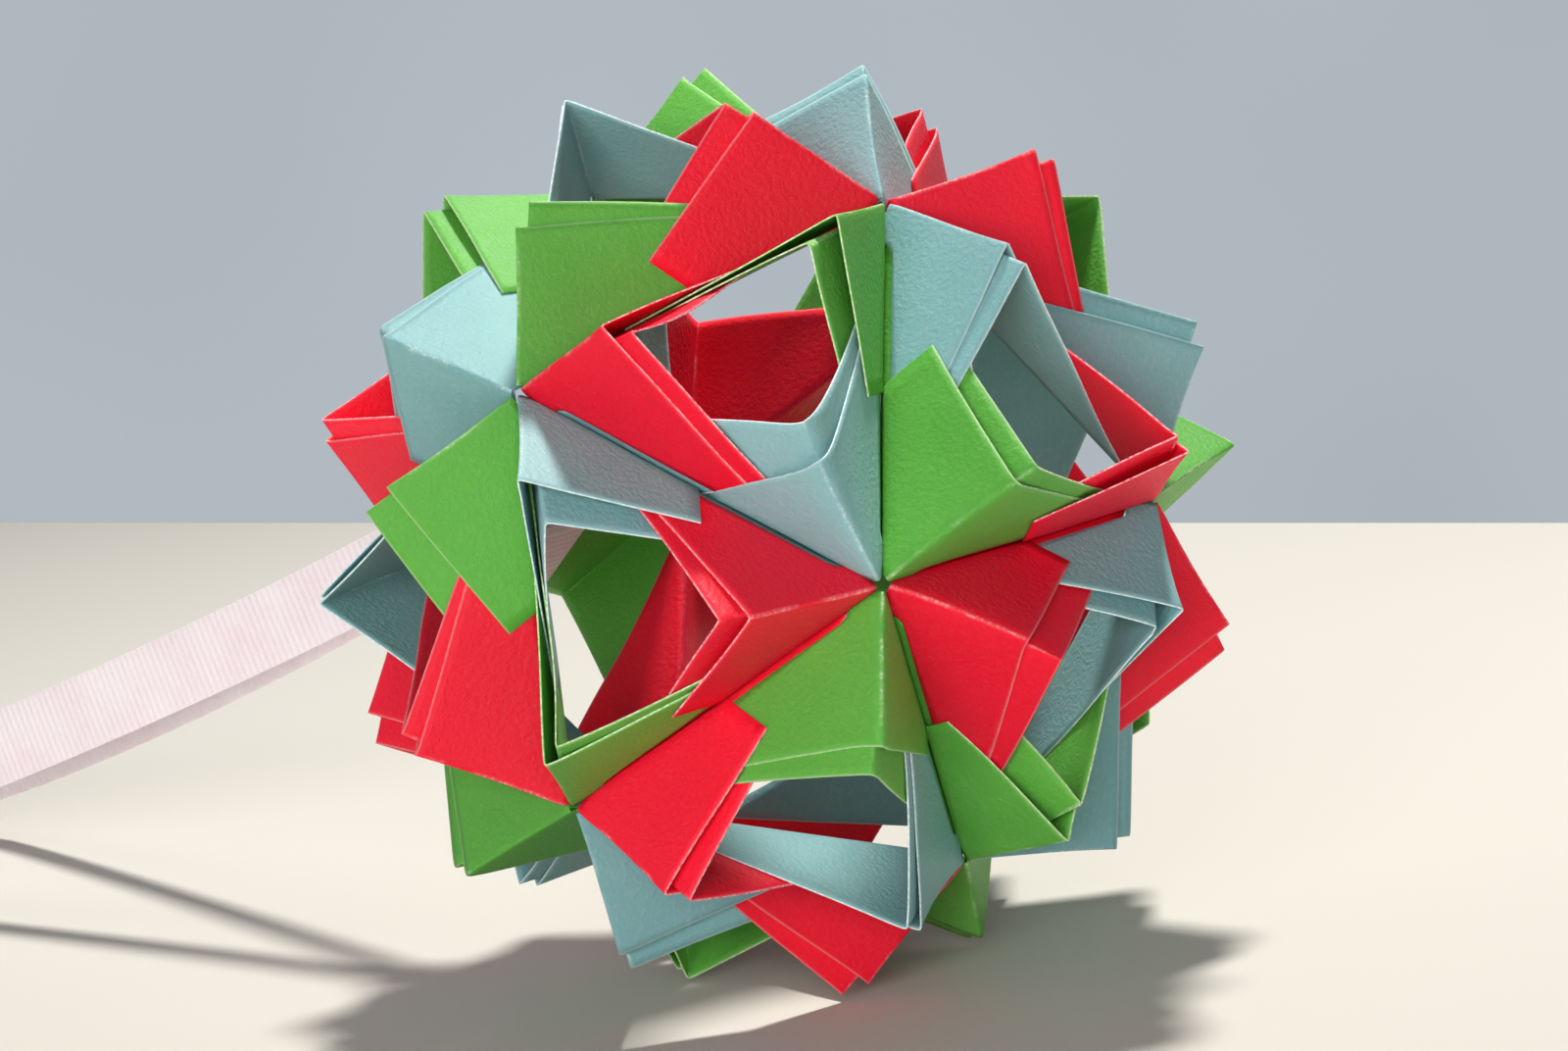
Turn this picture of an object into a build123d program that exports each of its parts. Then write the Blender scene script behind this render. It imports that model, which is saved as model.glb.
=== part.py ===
"""A hollow paper ball: thirty folded units, each on the line between two of the ball's twelve pits.

A unit is one strip of doubled paper. It has a valley fold from pit to pit, a ridge fold at each end
and a tab past each ridge. The strip's outer leaf makes a pocket beside each ridge, and a tab of the
next unit is held between that leaf and the inner one. Three planes stand on every triangle of pits
like the sides of a regular tetrahedron, cut short so that each triangle keeps an open window.
The ball rests on the four lowest tips, and the valley of its lowest unit runs along X.
A ribbon is tied round one unit, and its loop lies out to the side of the ball.
"""
import os
from math import asin, degrees, sqrt

from build123d import *

os.makedirs("parts", exist_ok=True)

# Driving dimensions
pit_spacing = 45.0      # from a pit to the next, the length of a valley fold
inner_ridge = 20.8      # length of the inner leaf along its ridge, from the pit to the tip
outer_ridge = 17.6      # length of the outer leaf along its ridge
tab_end = 1.5           # length of the fold across the end of a tab
leaf = 0.22             # thickness of one leaf, which is paper doubled
leaf_gap = 0.25         # clearance between two nested leaves
valley_gap = 0.6        # clear width between the two pockets at the bottom of a valley
pit_gap = 1.2           # how far the folds stop short of a pit's centre

# The hanging loop, a ribbon tied round the middle of one unit
ribbon_width = 9.5
ribbon_thick = 0.4
ribbon_clearance = 0.4  # between the ribbon and the paper it is tied round
knot_height = 8.0
knot_depth = 6.5
knot_round = 2.2        # radius of the knot's soft edges
loop_spread = 34.0      # width of the loop at its far end
# The loop seen from the side, out from the ball's centre and down from it to its far end
loop_middle = (-107.0, -20.0)
loop_tip = (-190.0, -44.2)

# The twelve pits are the corners of an icosahedron about the ball's centre
golden_share = (1 + sqrt(5)) / 2
half = pit_spacing / 2
far = golden_share * half
pits = {
    "A": Vector(0, -far, half),
    "B": Vector(far, -half, 0),
    "C": Vector(half, 0, far),
    "D": Vector(0, -far, -half),
    "E": Vector(half, 0, -far),
    "F": Vector(far, half, 0),
    "G": Vector(-far, -half, 0),
    "H": Vector(-half, 0, far),
    "I": Vector(0, far, half),
    "J": Vector(-half, 0, -far),
    "K": Vector(-far, half, 0),
    "L": Vector(0, far, -half),
}

# The pits that each unit joins. Every triangle of pits has one unit of each colour
units = {
    "red": "AC BD BF CI DG EJ FL GH IK JK",
    "green": "AD AH BC BE DJ EL FI GK HI KL",
    "blue": "AB AG CF CH DE EF GJ HK IL JL",
}

# One end of a unit, in the unit's own frame: the valley lies along X and Z points out of the ball
ball_centre = Vector(0, 0, -far)
near_pit = Vector(half, 0, 0)
far_pit = Vector(-half, 0, 0)
side_pit = Vector(0, far, half - far)
triangle_centre = (near_pit + far_pit + side_pit) / 3
apex_height = pit_spacing * sqrt(2 / 3)
apex = triangle_centre + (triangle_centre - ball_centre).normalized() * apex_height
ridge = (apex - near_pit).normalized()


def across_ridge(pit):
    """The direction square to the ridge, in the plane of the ridge and that pit."""
    along = pit - near_pit
    return (along - ridge * along.dot(ridge)).normalized()


own_dir = across_ridge(far_pit)
tab_dir = across_ridge(side_pit)
fold_plane = Plane(origin=near_pit, x_dir=own_dir, z_dir=ridge)
fold_cos = own_dir.dot(tab_dir)
fold_sin = sqrt(1 - fold_cos**2)

# Levels of the nested leaves above the inner face of a unit's own inner leaf
level = leaf + leaf_gap
tab_inner = level
tab_outer = 2 * level
own_outer = 3 * level

mouth_reach = half * sqrt(3) / 2
inner_reach = pit_spacing
lip = valley_gap / 2
tab_clearance = lip + leaf + leaf_gap
tab_reach = (outer_ridge - tab_end) * sqrt(3) - 2 * tab_clearance / fold_plane.y_dir.Z


def crease(own_level, tab_level):
    """The ridge point, in the fold plane, of leaves at these levels on its two sides."""
    return (-(tab_level + own_level * fold_cos) / fold_sin, own_level)


def on_tab(reach, tab_level):
    """The point of the tab, in the fold plane, that far from the ridge and at that level."""
    return (reach * fold_cos - tab_level * fold_sin, -reach * fold_sin - tab_level * fold_cos)


def valley_height(across, own_level):
    """The height over the valley of a leaf at that level, that far beside the valley."""
    return (own_level - across * fold_plane.y_dir.Y) / fold_plane.y_dir.Z


# The inner leaf: half of the valley's sheet on one side of the ridge, the tab on the other
with BuildPart() as inner_leaf:
    with BuildSketch(fold_plane):
        with BuildLine():
            Polyline(
                (inner_reach, 0),
                crease(0, tab_inner),
                on_tab(tab_reach, tab_inner),
                on_tab(tab_reach, tab_inner + leaf),
                crease(leaf, tab_inner + leaf),
                (inner_reach, leaf),
                close=True,
            )
        make_face()
    extrude(amount=inner_ridge)
    split(bisect_by=Plane(origin=(0, 0, 0), z_dir=(0, 1, 0)), keep=Keep.TOP)

# The outer leaf goes on from a fold at the tab's end, back over the ridge, to the pocket's mouth
with BuildPart() as outer_leaf:
    with BuildSketch(fold_plane):
        with BuildLine():
            Polyline(
                on_tab(tab_reach, tab_inner),
                on_tab(tab_reach, tab_outer + leaf),
                crease(own_outer + leaf, tab_outer + leaf),
                (mouth_reach, own_outer + leaf),
                (mouth_reach, own_outer),
                crease(own_outer, tab_outer),
                on_tab(tab_reach - leaf, tab_outer),
                on_tab(tab_reach - leaf, tab_inner),
                close=True,
            )
        make_face()
    extrude(amount=outer_ridge)
    split(bisect_by=Plane(origin=(0, lip, 0), z_dir=(0, 1, 0)), keep=Keep.TOP)

# The pocket is closed along the valley, where its leaf turns down to the inner one
with BuildPart() as valley_lip:
    with BuildSketch(Plane.YZ):
        with BuildLine():
            Polyline(
                (lip, valley_height(lip, 0)),
                (lip + leaf, valley_height(lip + leaf, 0)),
                (lip + leaf, valley_height(lip + leaf, own_outer + leaf)),
                (lip, valley_height(lip, own_outer + leaf)),
                close=True,
            )
        make_face()
    extrude(amount=half)

# The tab ends beside the next valley, and every fold ends beside a pit
next_valley = (near_pit - ball_centre).cross(side_pit - ball_centre).normalized()
if next_valley.dot(far_pit - ball_centre) < 0:
    next_valley = -next_valley

with BuildPart() as half_unit:
    add(inner_leaf.part)
    add(outer_leaf.part)
    add(valley_lip.part)
    split(bisect_by=Plane(origin=near_pit + next_valley * tab_clearance, z_dir=next_valley), keep=Keep.TOP)
    split(bisect_by=Plane(origin=(half - pit_gap, 0, 0), z_dir=(-1, 0, 0)), keep=Keep.TOP)
    split(bisect_by=Plane(origin=(pit_gap - half, 0, 0), z_dir=(1, 0, 0)), keep=Keep.TOP)

full_turn = 360
half_turn = (0, 0, full_turn / 2)
with BuildPart() as folded_unit:
    add(half_unit.part)
    add(half_unit.part, rotation=half_turn)


def unit_plane(joined_pits, lift=Vector(0, 0, 0)):
    """The frame of the unit between two pits, with the ball's centre raised by lift."""
    start, end = (pits[name] for name in joined_pits)
    middle = (start + end) / 2
    return Plane(origin=middle + lift, x_dir=end - start, z_dir=middle)


joined = [pair for colour in units.values() for pair in colour.split()]
lowest = min((unit_plane(pair) * folded_unit.part).bounding_box().min.Z for pair in joined)
rest_lift = Vector(0, 0, -lowest)

for colour, pairs in units.items():
    for number, pair in enumerate(pairs.split(), start=1):
        node = f"{colour}_unit_{number:02d}"
        with BuildPart(unit_plane(pair, rest_lift)) as paper_unit:
            add(folded_unit.part)
        paper_unit.part.label = node
        export_step(paper_unit.part, f"parts/{node}.step")


# The ribbon goes round the middle of its unit, through the windows on both sides
tied_pits = "GK"
tied = unit_plane(tied_pits, rest_lift)
arm_top = (ribbon_width / 2 - half) / sqrt(3) + inner_ridge * 2 / sqrt(3)
arm_reach = arm_top + tab_outer + leaf + ribbon_clearance
arm_sin = -fold_plane.y_dir.Y
arm_cos = fold_plane.y_dir.Z
wrap_side = arm_reach * arm_cos + ribbon_clearance * arm_sin
wrap_top = arm_reach * arm_sin - ribbon_clearance * arm_cos
wrap_corners = [(0, -ribbon_clearance / arm_cos), (wrap_side, wrap_top), (-wrap_side, wrap_top)]
wrap_plane = Plane(origin=tied.origin - tied.x_dir * (ribbon_width / 2), x_dir=tied.y_dir, z_dir=tied.x_dir)
knot_plane = Plane(origin=tied.origin + tied.z_dir * wrap_top, x_dir=tied.x_dir, z_dir=tied.z_dir)

# The loop stands on its edge: a teardrop in plan, cut out by the band that it makes from the side
centre_height = rest_lift.Z
loop_radius = loop_spread / 2
neck_radius = 2 * ribbon_thick
loop_start = (-(far + wrap_top + knot_depth / 2), 0)
loop_end = (loop_tip[0] + loop_radius, 0)
quarter_turn = full_turn / 4
lean = degrees(asin((loop_radius - neck_radius) / (loop_start[0] - loop_end[0])))
side_plane = Plane(origin=(0, loop_spread, centre_height), x_dir=(1, 0, 0), z_dir=(0, -1, 0))
with BuildPart() as side_band:
    with BuildSketch(side_plane):
        with BuildLine():
            sag = ThreePointArc(loop_start, loop_middle, loop_tip)
            Line(loop_tip, loop_tip + (sag % 1) * ribbon_width)
        trace(line_width=ribbon_width)
    extrude(amount=2 * loop_spread)

with BuildPart() as loop:
    with BuildSketch(Plane.XY.offset(-ribbon_width)):
        for inset, face_mode in ((0, Mode.ADD), (ribbon_thick, Mode.SUBTRACT)):
            with BuildLine():
                wide = CenterArc(loop_end, loop_radius - inset, quarter_turn - lean, quarter_turn + lean)
                narrow = CenterArc(loop_start, neck_radius - inset, 0, quarter_turn - lean)
                Line(wide @ 0, narrow @ 1)
                mirror(about=Plane.XZ)
            make_face(mode=face_mode)
    extrude(amount=2 * centre_height)
    add(side_band.part, mode=Mode.INTERSECT)

with BuildPart() as hanging_ribbon:
    with BuildSketch(wrap_plane):
        with BuildLine():
            Polyline(*wrap_corners, close=True)
        make_face()
        offset(amount=ribbon_thick, mode=Mode.REPLACE)
        with BuildLine():
            Polyline(*wrap_corners, close=True)
        make_face(mode=Mode.SUBTRACT)
    extrude(amount=ribbon_width)
    with BuildSketch(knot_plane):
        RectangleRounded(ribbon_width, knot_height, knot_round)
    extrude(amount=knot_depth)
    add(loop.part)
hanging_ribbon.part.label = "hanging_ribbon"
export_step(hanging_ribbon.part, "parts/hanging_ribbon.step")
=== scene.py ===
"""The looks of the folded paper ball: thin paper leaves, their wear and grain, and the ribbed ribbon."""

import math
import random

import bpy
import numpy as np
from mathutils import Matrix, Vector, noise


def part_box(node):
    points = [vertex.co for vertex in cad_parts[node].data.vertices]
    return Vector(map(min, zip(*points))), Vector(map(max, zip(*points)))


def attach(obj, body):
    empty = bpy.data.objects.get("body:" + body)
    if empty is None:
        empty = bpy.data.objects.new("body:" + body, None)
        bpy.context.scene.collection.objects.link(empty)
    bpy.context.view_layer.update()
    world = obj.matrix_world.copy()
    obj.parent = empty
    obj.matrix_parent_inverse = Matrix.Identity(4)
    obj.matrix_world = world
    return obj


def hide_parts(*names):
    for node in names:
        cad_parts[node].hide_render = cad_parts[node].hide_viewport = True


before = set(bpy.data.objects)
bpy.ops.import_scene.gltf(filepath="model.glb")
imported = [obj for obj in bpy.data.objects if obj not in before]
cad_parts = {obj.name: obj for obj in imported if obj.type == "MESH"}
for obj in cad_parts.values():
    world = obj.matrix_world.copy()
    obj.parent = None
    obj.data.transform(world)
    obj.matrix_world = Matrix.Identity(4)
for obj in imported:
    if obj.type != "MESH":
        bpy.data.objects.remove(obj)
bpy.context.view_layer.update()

MM = 0.001

# The ball's driving sizes, as its solids have them
PIT_SPACING = 45.0 * MM
INNER_RIDGE = 20.8 * MM
OUTER_RIDGE = 17.6 * MM
TAB_REACH = 25.5 * MM
TAB_CLEARANCE = 1.4 * MM

# The paper leaves
PAPER = 0.16 * MM           # thickness of a leaf
NEAR_PITCH = 0.19 * MM      # spacing of nested leaves beside a valley
FAN_PITCHES = (0.0 * MM, 0.16 * MM)     # how much that spacing grows up to the tips, least and most
FOLD_WIDTHS = (0.20 * MM, 0.50 * MM)    # softness of the sharpest and of the softest ridges
FOLD_WIDTH_SHARE = 0.24     # most that a fold's softness is of the distance to its pit
SHORT_INNER = 0.4 * MM      # most that an inner leaf is short of its full length
LONG_OUTER = 0.9 * MM       # most that an outer leaf is longer than the shortest
INNER_SLOPES = (-0.05, 0.05)            # how far the edge of an inner leaf runs out of square
POCKET_SLOPES = (-0.04, 0.05)           # the same of an outer leaf, on its pocket
TAB_SLOPES = (0.0, 0.12)                # and on its tab
PIT_HOLE = 0.9 * MM         # how far the ridges stop short of a pit
TUCK_START = 2.0 * MM       # up to this distance from its pit a tab reaches right down to the valley
ROWS = 20                   # rows of a leaf along its ridge
COLUMNS = 20                # columns on each side of the ridge
BOW = 0.55 * MM             # most that a doubled wall bows
BOW_SHARES = (-0.5, 1.0)    # least and most bow of a wall, as shares of that
BOW_RISE = 1.3              # power by which the bow grows up the wall
LIFT = 1.3 * MM             # most that a free corner lifts
POCKET_LIFTS = (0.15, 1.0)  # least and most lift of a pocket's corner, as shares of that
TAB_LIFTS = (0.0, 0.55)     # the same of a tab's corner
DROOPS = (0.1, 0.9)         # and of an inner leaf, which droops
POCKET_LIFT_SPAN = (0.0, 0.5)           # part of the wall's length over which a pocket's corner lifts
TAB_LIFT_SPAN = (0.55, 0.8)             # the same of a tab's corner
TAB_FADE_SPAN = (0.8, 1.0)              # and where that lift ends
DROOP_SPAN = (0.35, 0.95)               # part of the wall's height over which an inner leaf droops
PITCH_START = 0.5 * MM      # distance from the valley over which nested leaves part
FAN_RISE = 1.5              # power by which they part further, up to the tips
MOST_RISE = 1.2             # height at which all this stops growing, in tip heights
SPREAD_POWER = 1.7          # how much closer the columns stand beside the ridge
CRUMPLE = 0.28 * MM         # unevenness of the whole ball
CRUMPLE_SIZE = 17.0 * MM
CRUMPLE_SEED = 7            # without a seed the noise changes with the clock

# Folds that stand out. A ridge is named by its unit's far pit and by the pit that it starts from
SOFT_FOLDS = {"AB": 3.6 * MM, "EB": 0.8 * MM, "FB": 1.3 * MM, "CB": 0.8 * MM}
POCKET_EDGES = {"AB": -0.30, "DA": -0.02, "BE": -0.15, "EB": -0.15}
TAB_EDGES = {"HA": 0.13, "GD": 0.10, "EB": 0.10, "CA": 0.02, "FC": 0.03, "FB": 0.15}
OUTER_RIDGES = {
    "DA": 17.2 * MM, "HA": 17.8 * MM, "GA": 18.5 * MM, "GD": 18.5 * MM, "CA": 18.1 * MM,
    "FC": 17.7 * MM, "DB": 17.6 * MM, "EB": 17.6 * MM, "IC": 18.3 * MM, "BD": 18.2 * MM,
    "AB": 16.4 * MM, "FB": 16.4 * MM,
}
# How far a ridge's tip stands out from the true plane of its pocket's wall, and of its tab's wall
TIP_LEANS = {
    "BA": (2.5 * MM, -2.0 * MM), "AB": (2.5 * MM, -1.0 * MM), "FB": (2.5 * MM, -3.0 * MM),
    "EB": (2.5 * MM, 1.0 * MM), "BE": (2.5 * MM, -2.5 * MM), "DE": (1.0 * MM, -2.0 * MM),
    "AH": (1.0 * MM, 0.0 * MM), "HC": (1.5 * MM, -1.5 * MM), "CI": (2.0 * MM, 2.0 * MM),
    "IC": (0.0 * MM, 2.0 * MM), "FI": (3.0 * MM, 1.0 * MM), "BC": (0.0 * MM, -1.0 * MM),
    "BF": (3.5 * MM, -3.5 * MM), "IF": (3.0 * MM, -2.0 * MM), "EF": (-1.2 * MM, -2.5 * MM),
    "GA": (1.0 * MM, -1.5 * MM), "FC": (0.5 * MM, -1.5 * MM), "CA": (0.0 * MM, -1.5 * MM),
}
# How far an inner leaf's tip sinks below its outer leaf
SUNK_TIPS = {"BA": 1.8 * MM, "BC": 1.2 * MM, "BE": 1.0 * MM, "EF": 1.2 * MM}
SINK_FADE = 14.0 * MM       # distance from the ridge over which that fades
# A wall is named by its two pits and by the pit of the triangle that it leans over
OPEN_WALLS = {"ACB": 2.4 * MM}
# The ball is out of round: it swells upwards about one pit
SWELL_PIT = "H"
SWELL = 2.6 * MM
SWELL_SIZE = 34.0 * MM

# The levels of the four nested leaves in a wall, from the innermost
OWN_INNER = 0
TAB_INNER = 1
TAB_OUTER = 2
OWN_OUTER = 3

ROOT3 = math.sqrt(3)
HALF = PIT_SPACING / 2
FAR = HALF * (1 + math.sqrt(5)) / 2
MOUTH_REACH = HALF * ROOT3 / 2
TIP_HEIGHT = INNER_RIDGE * ROOT3 / 2

PIT_PLACES = {
    "A": (0, -FAR, HALF), "B": (FAR, -HALF, 0), "C": (HALF, 0, FAR), "D": (0, -FAR, -HALF),
    "E": (HALF, 0, -FAR), "F": (FAR, HALF, 0), "G": (-FAR, -HALF, 0), "H": (-HALF, 0, FAR),
    "I": (0, FAR, HALF), "J": (-HALF, 0, -FAR), "K": (-FAR, HALF, 0), "L": (0, FAR, -HALF),
}
PITS = {name: np.array(place, float) for name, place in PIT_PLACES.items()}
UNITS = {
    "red": "AC BD BF CI DG EJ FL GH IK JK",
    "green": "AD AH BC BE DJ EL FI GK HI KL",
    "blue": "AB AG CF CH DE EF GJ HK IL JL",
}

ball_low = np.min([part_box(name)[0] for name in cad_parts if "unit" in name], axis=0)
ball_high = np.max([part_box(name)[1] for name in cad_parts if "unit" in name], axis=0)
CENTRE = (ball_low + ball_high) / 2


def unit(vector):
    return vector / np.linalg.norm(vector)


# One end of a unit in the unit's own frame: the valley lies along X and Z points out of the ball
near_pit = np.array([HALF, 0, 0])
far_pit = np.array([-HALF, 0, 0])
side_pit = np.array([0, FAR, HALF - FAR])
middle = (near_pit + far_pit + side_pit) / 3
apex = middle + unit(middle - np.array([0, 0, -FAR])) * PIT_SPACING * math.sqrt(2 / 3)
RIDGE = unit(apex - near_pit)


def across_ridge(pit):
    along = pit - near_pit
    return unit(along - RIDGE * along.dot(RIDGE))


OWN_DIR = across_ridge(far_pit)
OWN_NORMAL = np.cross(RIDGE, OWN_DIR)
FOLD_COS = OWN_DIR.dot(across_ridge(side_pit))
FOLD_SIN = math.sqrt(1 - FOLD_COS**2)


def ease(x, low, high):
    """A smooth step, from 0 at low to 1 at high."""
    x = np.clip((x - low) / (high - low), 0, 1)
    return x * x * (3 - 2 * x)


class Wall:
    """One doubled wall on the line between two pits: where its nested leaves lie, over its own plane."""

    def __init__(self, key, pocket_ridge, tab_ridge):
        pick = random.Random("wall " + key)
        self.pocket_lean = TIP_LEANS.get(pocket_ridge, (0, 0))[0]
        self.tab_lean = TIP_LEANS.get(tab_ridge, (0, 0))[1]
        self.bow = pick.uniform(*BOW_SHARES) * BOW
        self.twist = pick.uniform(-1, 1) * BOW
        self.pocket_lift = pick.uniform(*POCKET_LIFTS) * LIFT
        self.tab_lift = pick.uniform(*TAB_LIFTS) * LIFT
        self.droop = OPEN_WALLS.get(key, pick.uniform(*DROOPS) * LIFT)
        self.fan_pitch = pick.uniform(*FAN_PITCHES)

    def level(self, leaf, up, along):
        """The height of a leaf over the wall's plane, at a place up from the valley and along it."""
        rise = np.clip(up / TIP_HEIGHT, 0, MOST_RISE)
        parted = 1 - np.exp(-np.maximum(up, 0) / PITCH_START)
        pitch = NEAR_PITCH * parted + self.fan_pitch * rise**FAN_RISE
        share = np.clip(along / PIT_SPACING, 0, 1)
        bowed = self.bow * np.sin(math.pi * share) * rise**BOW_RISE
        twisted = self.twist * (share - 0.5) * 2 * rise**2 * np.sin(math.pi * share)
        leaned = (self.pocket_lean * (1 - share) + self.tab_lean * share) * rise
        height = leaf * pitch + bowed + twisted + leaned
        if leaf == OWN_OUTER:
            height = height + self.pocket_lift * ease(share, *POCKET_LIFT_SPAN) * rise**2
        if leaf == TAB_OUTER:
            lifted = ease(share, *TAB_LIFT_SPAN) * (1 - ease(share, *TAB_FADE_SPAN))
            height = height + self.tab_lift * lifted * rise**2
        if leaf == OWN_INNER:
            height = height - self.droop * ease(rise, *DROOP_SPAN) * np.sin(math.pi * share) ** 2
        return height


walls = {}


def wall(edge, side):
    """The wall on the line between two pits that leans over the triangle of the third."""
    key = "".join(sorted(edge)) + side
    if key not in walls:
        start, end = edge if third_pit(*edge) == side else edge[::-1]
        walls[key] = Wall(key, start + end, side + start)
    return walls[key]


def third_pit(start, end):
    """The pit on the left of the line from start to end, seen from outside."""
    left = np.cross(PITS[start] + PITS[end], PITS[end] - PITS[start])
    beside = [
        name for name in PITS
        if name not in (start, end)
        and abs(np.linalg.norm(PITS[name] - PITS[start]) - PIT_SPACING) < MM
        and abs(np.linalg.norm(PITS[name] - PITS[end]) - PIT_SPACING) < MM
    ]
    return max(beside, key=lambda name: PITS[name].dot(left))


class Fold:
    """How one end of a unit was folded: the softness of its ridge, and how its leaves' edges run."""

    def __init__(self, start, end):
        pick = random.Random("fold " + start + end)
        self.width = SOFT_FOLDS.get(start + end, pick.uniform(*FOLD_WIDTHS))
        self.inner_length = INNER_RIDGE - pick.uniform(0, SHORT_INNER)
        self.outer_length = OUTER_RIDGES.get(start + end, OUTER_RIDGE + pick.uniform(0, LONG_OUTER))
        self.inner_slopes = pick.uniform(*INNER_SLOPES), pick.uniform(*INNER_SLOPES)
        pocket_slope = POCKET_EDGES.get(start + end, pick.uniform(*POCKET_SLOPES))
        tab_slope = TAB_EDGES.get(start + end, pick.uniform(*TAB_SLOPES))
        self.outer_slopes = pocket_slope, tab_slope


def half_leaf(start, end, outer):
    """The middle surface of one leaf at the end pit's ridge: a grid of points, and its distances."""
    side = third_pit(start, end)
    own_wall = wall((start, end), side)
    tab_wall = wall((end, side), start)
    fold = Fold(start, end)
    own_leaf, tab_leaf = (OWN_OUTER, TAB_OUTER) if outer else (OWN_INNER, TAB_INNER)
    length = fold.outer_length if outer else fold.inner_length
    own_slope, tab_slope = fold.outer_slopes if outer else fold.inner_slopes
    sunk = 0.0 if outer else SUNK_TIPS.get(start + end, 0.0)
    spread = np.linspace(0, 1, COLUMNS + 1) ** SPREAD_POWER

    def own_along(s, d):
        """The place along the ridge of a point of the pocket, whose free edge runs out of square."""
        low = d / ROOT3
        return s + (s - low) * own_slope * d / (length - low if outer else length)

    def tab_along(s, d):
        """The same of a point of the tab."""
        low = (d + 2 * TAB_CLEARANCE) / ROOT3
        return s + (s - low) * tab_slope * d / (length - low)

    def own_level(s, d):
        s = own_along(s, d)
        level = own_wall.level(own_leaf, s * ROOT3 / 2 - d / 2, s / 2 + d * ROOT3 / 2)
        return level - sunk * s / length * np.exp(-d / SINK_FADE)

    def tab_level(s, d):
        s = tab_along(s, d)
        level = tab_wall.level(tab_leaf, s * ROOT3 / 2 - d / 2, PIT_SPACING - (s / 2 + d * ROOT3 / 2))
        return level - sunk * s / length * np.exp(-d / SINK_FADE)

    points = []
    facts = []
    for s in np.linspace(PIT_HOLE, length, ROWS + 1):
        own_end = min(s * ROOT3, MOUTH_REACH if outer else PIT_SPACING)
        clearance = TAB_CLEARANCE * ease(s, TUCK_START, 2 * TUCK_START)
        tab_end = min(s * ROOT3 - 2 * clearance, TAB_REACH)
        own_height = float(own_level(s, 0.0))
        tab_height = float(tab_level(s, 0.0))
        crease = np.array([-(tab_height + own_height * FOLD_COS) / FOLD_SIN, own_height])
        crease_reach = crease[0] * FOLD_COS - crease[1] * FOLD_SIN
        own_run = (own_end - crease[0]) * spread
        tab_run = (tab_end - crease_reach) * spread
        run = np.concatenate([-tab_run[:0:-1], own_run])
        width = min(fold.width, FOLD_WIDTH_SHARE * s)
        own_part = (run + np.sqrt(run**2 + width**2)) / 2
        tab_part = (-run + np.sqrt(run**2 + width**2)) / 2
        own_reach = np.maximum(run + crease[0], 0)
        tab_reach = np.maximum(crease_reach - run, 0)
        own_shift = np.where(run > 0, own_level(s, own_reach) - own_height, 0)
        tab_shift = np.where(run < 0, tab_level(s, tab_reach) - tab_height, 0)
        along = np.where(run > 0, own_along(s, own_reach), tab_along(s, tab_reach))
        x = crease[0] + own_part + tab_part * FOLD_COS - tab_shift * FOLD_SIN
        y = crease[1] - tab_part * FOLD_SIN + own_shift - tab_shift * FOLD_COS
        points.append(near_pit + along[:, None] * RIDGE + x[:, None] * OWN_DIR + y[:, None] * OWN_NORMAL)
        facts.append(np.stack([np.abs(run), np.full(len(run), length - s)], axis=1))
    return np.array(points), np.array(facts)


def unit_frame(start, end):
    """The unit's own frame as a matrix of its axes, and its origin, about the ball's centre."""
    origin = (PITS[start] + PITS[end]) / 2
    x_axis = unit(PITS[end] - PITS[start])
    z_axis = unit(origin)
    return np.stack([x_axis, np.cross(z_axis, x_axis), z_axis]), origin


def linked(name, data):
    """A new object of this data, in the scene."""
    thing = bpy.data.objects.new(name, data)
    bpy.context.collection.objects.link(thing)
    return thing


def crumpled(points):
    """The points moved by a smooth unevenness that all the leaves share."""
    noise.seed_set(CRUMPLE_SEED)
    moved = np.array([noise.noise_vector(Vector(p) / CRUMPLE_SIZE) * CRUMPLE for p in points])
    apart = np.linalg.norm(points - CENTRE - PITS[SWELL_PIT], axis=1)
    moved[:, 2] += SWELL * np.exp(-(apart / SWELL_SIZE) ** 2)
    return points + moved


def thickened(grid, facts):
    """Vertices, faces, edge flags and vertex facts of a leaf of paper about a grid of points."""
    rows, columns = grid.shape[:2]
    along = np.gradient(grid, axis=0)
    across = np.gradient(grid, axis=1)
    normal = np.cross(along, across)
    normal /= np.linalg.norm(normal, axis=2)[:, :, None]
    top = (grid + normal * PAPER / 2).reshape(-1, 3)
    bottom = (grid - normal * PAPER / 2).reshape(-1, 3)
    count = rows * columns
    faces, edges = [], []
    for i in range(rows - 1):
        for j in range(columns - 1):
            a = i * columns + j
            b, c, d = a + 1, a + columns + 1, a + columns
            faces.append((a, d, c, b))
            faces.append((a + count, b + count, c + count, d + count))
            edges += [0, 0]
    rim = [i * columns for i in range(rows)]
    rim += [(rows - 1) * columns + j for j in range(1, columns)]
    rim += [i * columns + columns - 1 for i in range(rows - 2, -1, -1)]
    rim += [j for j in range(columns - 2, 0, -1)]
    for a, b in zip(rim, rim[1:] + rim[:1]):
        faces.append((b, a, a + count, b + count))
        edges.append(int(a >= (rows - 1) * columns and b >= (rows - 1) * columns))
    flat = facts.reshape(-1, facts.shape[2])
    return np.concatenate([top, bottom]), faces, edges, np.concatenate([flat, flat])


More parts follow.
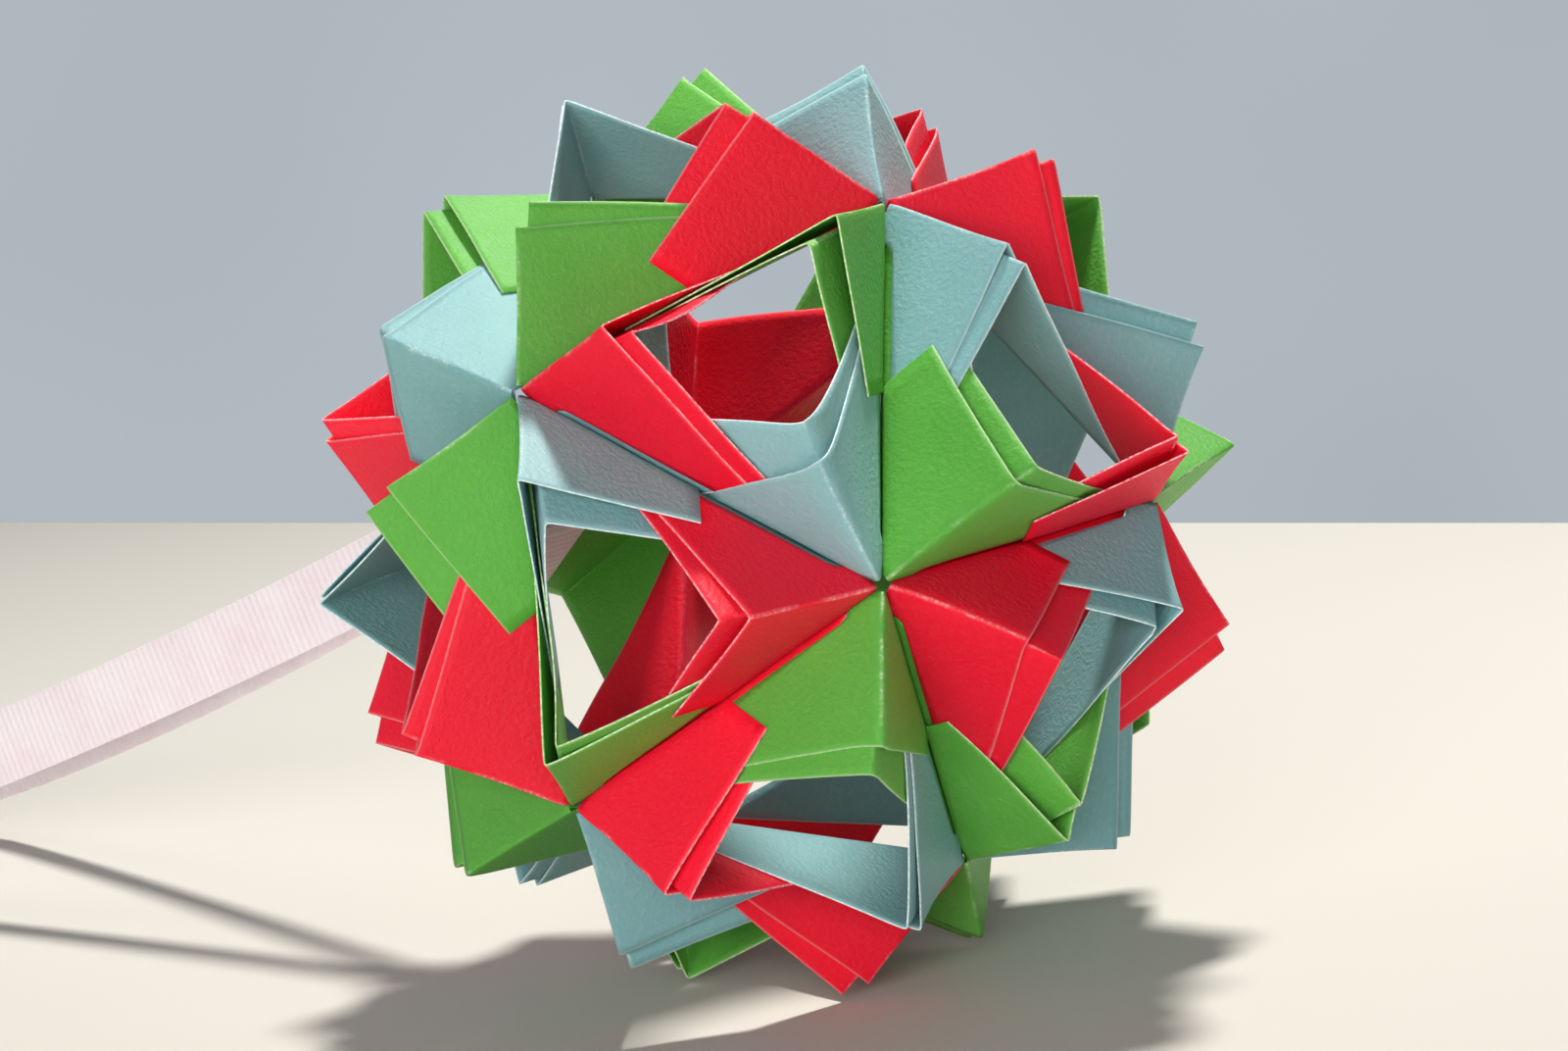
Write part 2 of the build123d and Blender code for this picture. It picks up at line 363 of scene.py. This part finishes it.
def paper_unit(name, start, end, materials):
    """One folded unit: the inner and the outer leaf at both its ends, as one object."""
    vertices, faces, edges, facts = [], [], [], []
    total = 0
    for first, last in ((start, end), (end, start)):
        axes, origin = unit_frame(first, last)
        for outer in (False, True):
            grid, known = half_leaf(first, last, outer)
            placed = grid @ axes + origin + CENTRE
            placed = crumpled(placed.reshape(-1, 3)).reshape(placed.shape)
            points, polygons, flags, numbers = thickened(placed, known)
            vertices.append(points)
            facts.append(numbers)
            faces += [tuple(total + k for k in polygon) for polygon in polygons]
            edges += flags
            total += len(points)
    mesh = bpy.data.meshes.new(name)
    mesh.from_pydata(np.concatenate(vertices).tolist(), [], faces)
    for material in materials:
        mesh.materials.append(material)
    mesh.polygons.foreach_set("material_index", edges)
    mesh.polygons.foreach_set("use_smooth", [not flag for flag in edges])
    facts = np.concatenate(facts)
    pick = random.Random(name)
    for index, label in enumerate(("fold_distance", "rim_distance")):
        values = mesh.attributes.new(label, "FLOAT", "POINT")
        values.data.foreach_set("value", facts[:, index] / MM)
    tone = mesh.attributes.new("tone", "FLOAT", "POINT")
    tone.data.foreach_set("value", [pick.random()] * len(facts))
    mesh.update()
    return linked(name, mesh)


class Nodes:
    """A node tree, with short calls that add nodes and join them."""

    def __init__(self, tree):
        self.tree = tree

    def add(self, kind, inputs=None, **settings):
        node = self.tree.nodes.new(kind)
        for key, value in settings.items():
            setattr(node, key, value)
        for key, value in (inputs or {}).items():
            if hasattr(value, "is_linked"):
                self.tree.links.new(value, node.inputs[key])
            else:
                node.inputs[key].default_value = value
        return node

    def math(self, operation, a, b=0.0):
        return self.add("ShaderNodeMath", {0: a, 1: b}, operation=operation).outputs[0]

    def mix(self, factor, a, b):
        node = self.add("ShaderNodeMix", {0: factor, 6: a, 7: b}, data_type="RGBA")
        return node.outputs[2]

    def ramp(self, value, low, high):
        node = self.add("ShaderNodeMapRange", {0: value, 1: low, 2: high}, interpolation_type="SMOOTHSTEP")
        return node.outputs[0]

    def noise(self, place, size, detail=3.0, roughness=0.55):
        scale = 1 / size
        return self.add(
            "ShaderNodeTexNoise", {"Vector": place, "Scale": scale, "Detail": detail, "Roughness": roughness}
        ).outputs["Fac"]


class Surface(Nodes):
    """A material's node tree, and its shader."""

    def __init__(self, name):
        self.material = bpy.data.materials.new(name)
        self.material.use_nodes = True
        super().__init__(self.material.node_tree)
        self.shader = self.tree.nodes["Principled BSDF"]

    def join(self, socket, value):
        self.tree.links.new(value, self.shader.inputs[socket])

    def fix(self, **values):
        """Set the shader's own values: the sockets' names have spaces for underscores."""
        for key, value in values.items():
            self.shader.inputs[key.replace("_", " ")].default_value = value


# The paper's surface: how large its mottling, grain, and the specks and patches of its pale folds (wear and
# painted highlight) are
MOTTLE_SIZE = 14 * MM
GRAIN_SIZE = 0.6 * MM
SPECK_SIZE = 0.4 * MM
PATCH_SIZE = 5 * MM
FIBRE_SIZE = 0.5 * MM       # of the cut edges
SHEET_SHARE = 0.45          # how much of the mottling is from one sheet to the next
PALE_GRAIN = 0.14           # how much paler the grain is
# The pale along the folds is partly wear of the paper's pale core and partly a painted highlight on the
# ridges
FOLD_WEAR_AND_HIGHLIGHT = (0.05, 0.55)    # distances from a fold over which its wear and painted highlight fade, in mm
LEAST_FOLD_WEAR_AND_HIGHLIGHT = 0.14
SPECK_WEAR_AND_HIGHLIGHT = 0.5
RIM_WEAR = (0.0, 0.30)      # distances from a free edge over which its wear fades, in mm
RIM_PALE = 0.35
PAPER_ROUGH = (0.46, 0.64)
PAPER_DEPTH = 0.18 * MM     # of the grain
FIBRE_DEPTH = 0.05 * MM


def paper_material(name, colour, deep, pale, core, glow):
    """Solid-coloured craft paper: mottled, grainy, pale with wear at its tips, and pale along its folds with
    wear and a painted highlight.
    """
    n = Surface(name)
    place = n.add("ShaderNodeTexCoord").outputs["Object"]
    fold = n.add("ShaderNodeAttribute", attribute_name="fold_distance").outputs["Fac"]
    rim = n.add("ShaderNodeAttribute", attribute_name="rim_distance").outputs["Fac"]
    tone = n.add("ShaderNodeAttribute", attribute_name="tone").outputs["Fac"]
    broad = n.noise(place, MOTTLE_SIZE, 2.0)
    grain = n.noise(place, GRAIN_SIZE, 3.0, 0.6)
    speck = n.noise(place, SPECK_SIZE, 3.0, 0.6)
    mottle = n.math("ADD", n.math("MULTIPLY", broad, 1 - SHEET_SHARE), n.math("MULTIPLY", tone, SHEET_SHARE))
    sheet = n.mix(n.ramp(mottle, 0.25, 0.75), deep, colour)
    sheet = n.mix(n.math("MULTIPLY", n.ramp(grain, 0.45, 0.75), PALE_GRAIN), sheet, pale)
    # Pale along the folds: wear of the pale core together with a painted highlight, in specks and patches
    beside_fold = n.math("SUBTRACT", 1.0, n.ramp(fold, *FOLD_WEAR_AND_HIGHLIGHT))
    patches = n.ramp(n.noise(place, PATCH_SIZE, 2.0), 0.42, 0.60)
    rubbed_and_highlit = n.math("ADD", n.math("MULTIPLY", n.ramp(speck, 0.42, 0.72), SPECK_WEAR_AND_HIGHLIGHT), LEAST_FOLD_WEAR_AND_HIGHLIGHT)
    wear_and_highlight = n.math("MULTIPLY", n.math("MULTIPLY", beside_fold, rubbed_and_highlit), patches)
    beside_rim = n.math("SUBTRACT", 1.0, n.ramp(rim, *RIM_WEAR))
    wear_and_highlight = n.math("MAXIMUM", wear_and_highlight, n.math("MULTIPLY", beside_rim, RIM_PALE))
    # The pale core colour shows where the paper wears at its tips, and along the folds as wear and painted
    # highlight
    n.join("Base Color", n.mix(wear_and_highlight, sheet, core))
    least, most = PAPER_ROUGH
    rough = n.add("ShaderNodeMapRange", {0: grain, 1: 0.3, 2: 0.7, 3: least, 4: most}).outputs[0]
    n.join("Roughness", rough)
    height = n.math("ADD", n.math("MULTIPLY", grain, 1.2), n.math("MULTIPLY", broad, 0.9))
    bump = n.add("ShaderNodeBump", {"Strength": 0.8, "Distance": PAPER_DEPTH, "Height": height})
    n.join("Normal", bump.outputs["Normal"])
    n.fix(Specular_IOR_Level=0.25, Subsurface_Weight=1.0, Subsurface_Radius=glow, Subsurface_Scale=PAPER)
    return n.material


def edge_material(name, pale, core):
    """The cut edge of the paper, where its pale core shows through the colour."""
    n = Surface(name)
    place = n.add("ShaderNodeTexCoord").outputs["Object"]
    fibre = n.noise(place, FIBRE_SIZE, 3.0)
    n.join("Base Color", n.mix(n.ramp(fibre, 0.35, 0.65), pale, core))
    bump = n.add("ShaderNodeBump", {"Strength": 0.4, "Distance": FIBRE_DEPTH, "Height": fibre})
    n.join("Normal", bump.outputs["Normal"])
    n.fix(Roughness=0.8)
    return n.material


# core is the paper's pale core colour; along the folds it also serves as the painted highlight
PAPERS = {
    "red": dict(
        colour=(0.91, 0.010, 0.040, 1), deep=(0.81, 0.006, 0.032, 1), pale=(0.95, 0.07, 0.13, 1),
        core=(0.94, 0.60, 0.60, 1), glow=(1.0, 0.10, 0.40),
    ),
    "green": dict(
        colour=(0.14, 0.47, 0.070, 1), deep=(0.10, 0.38, 0.052, 1), pale=(0.34, 0.63, 0.19, 1),
        core=(0.80, 0.88, 0.64, 1), glow=(0.60, 1.0, 0.20),
    ),
    "blue": dict(
        colour=(0.28, 0.50, 0.52, 1), deep=(0.21, 0.42, 0.44, 1), pale=(0.48, 0.68, 0.70, 1),
        core=(0.82, 0.90, 0.91, 1), glow=(0.50, 0.90, 1.0),
    ),
}

for colour, pairs in UNITS.items():
    looks = PAPERS[colour]
    paper = paper_material(colour + "_paper", **looks)
    cut = edge_material(colour + "_cut_edge", looks["pale"], looks["core"])
    for number, pair in enumerate(pairs.split(), start=1):
        node = f"{colour}_unit_{number:02d}"
        piece = paper_unit("folded_" + node, pair[0], pair[1], (paper, cut))
        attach(piece, "root")
        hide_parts(node)

# The ribbon
RIBBON_WIDTH = 9.5 * MM
RIBBON_THICK = 0.4 * MM
RIB_PITCH = 1.1 * MM
RIB_HEIGHT = 0.14 * MM
STEPS_PER_RIB = 6
ROUTE_STEPS = 16            # steps of a route from one of its points to the next
WIDTH_SHARES = [-0.5, -0.485, -0.46, -0.3, 0, 0.3, 0.46, 0.485, 0.5]
SELVAGE_SHARES = [0.35, 0.7, 1, 1, 1, 1, 1, 0.7, 0.35]      # its thickness there
THREAD_SIZE = 0.35 * MM
THREAD_DEPTH = 0.08 * MM
SHADE_SIZE = 9 * MM         # of its broad shading
RIBBON_GLOW = 0.6 * MM      # how far light goes into it
# Its loop, out from the knot, round its far end and back, in mm
LOOP_ROUTE = [
    (-51.1, 0.9, 50.8), (-62.0, 2.4, 46.6), (-80.0, 4.7, 40.0), (-100.0, 7.4, 33.1), (-120.0, 10.1, 26.5),
    (-142.0, 13.0, 19.7), (-160.0, 15.4, 14.5), (-174.0, 17.0, 10.7), (-184.0, 15.6, 8.2), (-189.8, 8.0, 6.6),
    (-189.8, -8.0, 6.6), (-184.0, -15.6, 8.2), (-174.0, -17.0, 10.7), (-160.0, -15.4, 14.5),
    (-142.0, -13.0, 19.7), (-120.0, -10.1, 26.5), (-100.0, -7.4, 33.1), (-80.0, -4.7, 40.0),
    (-62.0, -2.4, 46.6), (-51.1, -0.9, 50.8),
]


def mesh_piece(name, points, faces, material):
    """A smooth-shaded object of these points and faces."""
    mesh = bpy.data.meshes.new(name)
    mesh.from_pydata(np.asarray(points).tolist(), [], faces)
    mesh.materials.append(material)
    mesh.polygons.foreach_set("use_smooth", [True] * len(mesh.polygons))
    mesh.update()
    return linked(name, mesh)


def route_points(route, closed=False):
    """Points along the smooth line that the route's points draw."""
    curve = bpy.data.curves.new("ribbon_route", "CURVE")
    curve.dimensions = "3D"
    spline = curve.splines.new("NURBS")
    spline.points.add(len(route) - 1)
    for point, place in zip(spline.points, route):
        point.co = (*(x * MM for x in place), 1)
    spline.order_u = 3
    spline.use_endpoint_u = not closed
    spline.use_cyclic_u = closed
    spline.resolution_u = ROUTE_STEPS
    line = bpy.data.objects.new("ribbon_route", curve)
    mesh = bpy.data.meshes.new_from_object(line)
    points = np.array([v.co for v in mesh.vertices])
    bpy.data.meshes.remove(mesh)
    bpy.data.objects.remove(line)
    bpy.data.curves.remove(curve)
    return points


def evenly(points, closed=False):
    """The line again, with points evenly spaced so that the ribs come out whole."""
    if closed:
        points = np.concatenate([points, points[:1]])
    along = np.concatenate([[0], np.cumsum(np.linalg.norm(np.diff(points, axis=0), axis=1))])
    count = round(along[-1] / RIB_PITCH) * STEPS_PER_RIB
    at = np.linspace(0, along[-1], count + 1)
    line = np.stack([np.interp(at, along, points[:, k]) for k in range(3)], axis=1)
    return line[:-1] if closed else line


def band(name, line, across, material, closed=False):
    """A ribbed band of ribbon along a line, with its width along the across directions."""
    tangent = np.gradient(line, axis=0)
    if closed:
        tangent = np.roll(line, -1, axis=0) - np.roll(line, 1, axis=0)
    tangent /= np.linalg.norm(tangent, axis=1)[:, None]
    across = across - tangent * (across * tangent).sum(1)[:, None]
    across /= np.linalg.norm(across, axis=1)[:, None]
    normal = np.cross(tangent, across)
    place = np.arange(len(line)) / STEPS_PER_RIB
    rib = RIBBON_THICK / 2 - RIB_HEIGHT * (1 - np.cos(2 * math.pi * place)) / 2
    rings = []
    for face in (1, -1):
        height = face * rib[:, None] * np.array(SELVAGE_SHARES)
        wide = across[:, None] * np.array(WIDTH_SHARES)[None, :, None] * RIBBON_WIDTH
        ring = line[:, None] + wide + normal[:, None] * height[:, :, None]
        rings.append(ring[:, ::face])
    ring = np.concatenate(rings, axis=1)
    rows, columns = ring.shape[:2]
    faces = []
    for i in range(rows if closed else rows - 1):
        for j in range(columns):
            a, b = i * columns, (i + 1) % rows * columns
            k = (j + 1) % columns
            faces.append((a + j, a + k, b + k, b + j))
    if not closed:
        faces.append(tuple(range(columns - 1, -1, -1)))
        faces.append(tuple((rows - 1) * columns + j for j in range(columns)))
    return mesh_piece(name, ring.reshape(-1, 3), faces, material)


def ribbon_material():
    """Pale pink grosgrain: a fine weave between the ribs, with a soft sheen."""
    n = Surface("pink_ribbon")
    place = n.add("ShaderNodeTexCoord").outputs["Object"]
    thread = n.noise(place, THREAD_SIZE, 2.0)
    broad = n.noise(place, SHADE_SIZE, 2.0)
    colour = n.mix(n.ramp(broad, 0.3, 0.7), (0.86, 0.74, 0.80, 1), (0.90, 0.81, 0.86, 1))
    colour = n.mix(n.math("MULTIPLY", n.ramp(thread, 0.4, 0.7), 0.3), colour, (0.95, 0.90, 0.93, 1))
    n.join("Base Color", colour)
    bump = n.add("ShaderNodeBump", {"Strength": 0.35, "Distance": THREAD_DEPTH, "Height": thread})
    n.join("Normal", bump.outputs["Normal"])
    n.fix(Roughness=0.55, Sheen_Weight=0.25, Subsurface_Weight=0.3)
    n.fix(Subsurface_Radius=(1.0, 0.8, 0.9), Subsurface_Scale=RIBBON_GLOW)
    return n.material


# Where the ribbon is tied: round the middle of one unit, over the tops of its two walls. The turn's
# route is in the unit's own frame, in mm
TIED_UNIT = "GK"
WRAP_ROUTE = [
    (0.0, 1.0, 0.0), (0.0, 0.0, -1.4), (0.0, -1.0, 0.0), (0.0, -10.4, 10.9), (0.0, -11.5, 12.1),
    (0.0, -9.8, 12.0), (0.0, 9.8, 12.0), (0.0, 11.5, 12.1), (0.0, 10.4, 10.9),
]
KNOT_HEIGHT = 11.9 * MM     # where the knot sits over the unit's valley
KNOT_SIZE = np.array([9.5, 8.6, 6.8]) * MM
KNOT_ROWS = 28
KNOT_COLUMNS = 48
KNOT_SQUARE = 0.72          # power that makes a ball a pillow
KNOT_CREASE = 0.10          # depth of its creases, as a share of its size
KNOT_CREASES = 5            # how closely they follow each other
KNOT_RIPPLE = 0.03          # its unevenness, as a share of its size
KNOT_BAND_LEAN = 0.42       # slope of the turn that crosses the knot


def tied_frame():
    """The tied unit's axes and its middle, in the ball's frame."""
    axes, origin = unit_frame(*TIED_UNIT)
    return axes, origin + CENTRE


def ribbon_wrap(material):
    """The turn of ribbon round the tied unit."""
    axes, origin = tied_frame()
    line = evenly(route_points(WRAP_ROUTE, closed=True) @ axes + origin, closed=True)
    return band("ribbon_wrap", line, np.tile(axes[0], (len(line), 1)), material, closed=True)


def ribbon_knot(material):
    """The knot: a soft pillow of gathered ribbon."""
    axes, origin = tied_frame()
    points, faces = [], []
    for i in range(KNOT_ROWS + 1):
        up = math.pi * (i / KNOT_ROWS - 0.5)
        for j in range(KNOT_COLUMNS):
            turn = 2 * math.pi * j / KNOT_COLUMNS
            x, y, z = math.cos(up) * math.cos(turn), math.cos(up) * math.sin(turn), math.sin(up)
            squared = [math.copysign(abs(c) ** KNOT_SQUARE, c) for c in (x, y, z)]
            crease = KNOT_CREASE * math.cos(KNOT_CREASES * (y + KNOT_BAND_LEAN * x)) ** 6
            fold = 1 - crease + KNOT_RIPPLE * math.sin(7 * x + 3 * z)
            points.append(np.array(squared) * KNOT_SIZE / 2 * fold)
    for i in range(KNOT_ROWS):
        low, high = i * KNOT_COLUMNS, (i + 1) * KNOT_COLUMNS
        for j in range(KNOT_COLUMNS):
            k = (j + 1) % KNOT_COLUMNS
            faces.append((low + j, low + k, high + k, high + j))
    placed = np.array(points) + np.array([0, 0, KNOT_HEIGHT + KNOT_SIZE[2] / 2])
    return mesh_piece("ribbon_knot", placed @ axes + origin, faces, material)


pink = ribbon_material()
loop_line = evenly(route_points(LOOP_ROUTE))
upright = np.tile(np.array([0.0, 0.0, 1.0]), (len(loop_line), 1))
ribbon = band("ribbon_loop", loop_line, upright, pink)
wrap = ribbon_wrap(pink)
knot = ribbon_knot(pink)
for piece in (ribbon, wrap, knot):
    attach(piece, "root")
    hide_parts("hanging_ribbon")

# The stage: a pale floor with a straight edge behind the ball, as a table has
FLOOR_HALF = 1.6
FLOOR_EDGE = 0.25           # distance of that edge behind the ball
FLOOR_TURN = 0.82           # slope that it is turned by, so that it looks level
FLOOR_CLOUDS = 0.25
FLOOR_TONES = (0.60, 0.58, 0.53, 1), (0.64, 0.62, 0.57, 1)


def pale_floor(material, toward):
    """A flat floor, from in front of the ball to its edge on the far side."""
    side = np.cross(toward, [0, 0, 1])
    corners = [
        (-FLOOR_HALF, -FLOOR_HALF), (-FLOOR_HALF, FLOOR_HALF),
        (FLOOR_EDGE, FLOOR_HALF), (FLOOR_EDGE, -FLOOR_HALF),
    ]
    mesh = bpy.data.meshes.new("floor")
    mesh.from_pydata([tuple(toward * out + side * across) for out, across in corners], [], [(0, 1, 2, 3)])
    mesh.materials.append(material)
    mesh.update()
    linked("floor", mesh)


def floor_material():
    """Pale cream, a little cloudy."""
    n = Surface("pale_floor")
    place = n.add("ShaderNodeTexCoord").outputs["Object"]
    n.join("Base Color", n.mix(n.noise(place, FLOOR_CLOUDS, 2.0), *FLOOR_TONES))
    n.fix(Roughness=0.7)
    return n.material


# The camera: where it stands from the ball's centre, and how it is turned, in degrees
CAMERA_PLACE = np.array([384.6, -392.1, 89.5]) * MM
CAMERA_TURN = 44.35         # about the upright
CAMERA_DIP = 9.17           # below level
CAMERA_ROLL = -7.42         # about its own axis, because the real ball leans
CAMERA_LENS = 112.5
CAMERA_SENSOR = 36.0
CAMERA_NEAR = 0.01          # nearest that it sees


def turned(degrees, axis):
    """A turn about one axis."""
    return Matrix.Rotation(math.radians(degrees), 4, axis)


camera = bpy.data.cameras.new("camera")
camera.lens = CAMERA_LENS
camera.sensor_width = CAMERA_SENSOR
camera.sensor_fit = "HORIZONTAL"
camera.clip_start = CAMERA_NEAR
camera_object = linked("camera", camera)
camera_turn = turned(CAMERA_TURN, "Z") @ turned(90 - CAMERA_DIP, "X") @ turned(CAMERA_ROLL, "Z")
camera_object.matrix_world = Matrix.Translation(Vector(CENTRE + CAMERA_PLACE)) @ camera_turn
bpy.context.scene.camera = camera_object

ahead = np.array(turned(CAMERA_TURN, "Z") @ Vector((0, 1, 0)))
right = np.array(turned(CAMERA_TURN, "Z") @ Vector((1, 0, 0)))
pale_floor(floor_material(), unit(ahead + right * FLOOR_TURN))


# The lamps: place (away from the camera, to its right and up, from the ball's centre), size, watts, colour
LAMPS = {
    "back_key": ((0.21, 0.12, 0.58), (0.08, 0.08), 5.5, (1.0, 0.97, 0.92)),
    "front_fill": ((-0.80, -0.22, 0.19), (0.8, 0.32), 5.6, (1.0, 0.98, 0.96)),
}
ROUND_LIGHT = (0.93, 0.95, 1.0, 1)
ROUND_STRENGTH = 0.14
BEHIND_TONES = (0.39, 0.44, 0.48, 1), (0.48, 0.53, 0.58, 1)
BEHIND_CLOUDS = 9.0


def area_light(name, place, size, power, colour):
    """A soft lamp that points at the ball."""
    light = bpy.data.lights.new(name, "AREA")
    light.shape = "ELLIPSE"
    light.size, light.size_y = size
    light.energy = power
    light.color = colour
    out, across, up = place
    lamp = linked(name, light)
    lamp.location = Vector(CENTRE + ahead * out + right * across + np.array([0, 0, up]))
    aim = Vector(CENTRE) - lamp.location
    lamp.rotation_euler = aim.to_track_quat("-Z", "Y").to_euler()


def studio_world():
    """Soft light from all round, and the cloudy grey that is seen past the floor."""
    world = bpy.data.worlds.new("studio")
    bpy.context.scene.world = world
    world.use_nodes = True
    n = Nodes(world.node_tree)
    light = n.tree.nodes["Background"]
    light.inputs["Color"].default_value = ROUND_LIGHT
    light.inputs["Strength"].default_value = ROUND_STRENGTH
    way = n.add("ShaderNodeTexCoord").outputs["Generated"]
    cloud = n.add("ShaderNodeTexNoise", {"Vector": way, "Scale": BEHIND_CLOUDS, "Detail": 1.0}).outputs["Fac"]
    behind = n.add("ShaderNodeBackground", {"Color": n.mix(cloud, *BEHIND_TONES)})
    path = n.add("ShaderNodeLightPath")
    seen = path.outputs["Is Camera Ray"]
    for ray in ("Is Glossy Ray", "Is Transmission Ray"):
        seen = n.math("MAXIMUM", seen, path.outputs[ray])
    both = n.add("ShaderNodeMixShader", {0: seen, 1: light.outputs[0], 2: behind.outputs[0]})
    n.tree.links.new(both.outputs[0], n.tree.nodes["World Output"].inputs["Surface"])


for lamp_name, facts in LAMPS.items():
    area_light(lamp_name, *facts)
studio_world()

bpy.context.scene.view_settings.view_transform = "Standard"
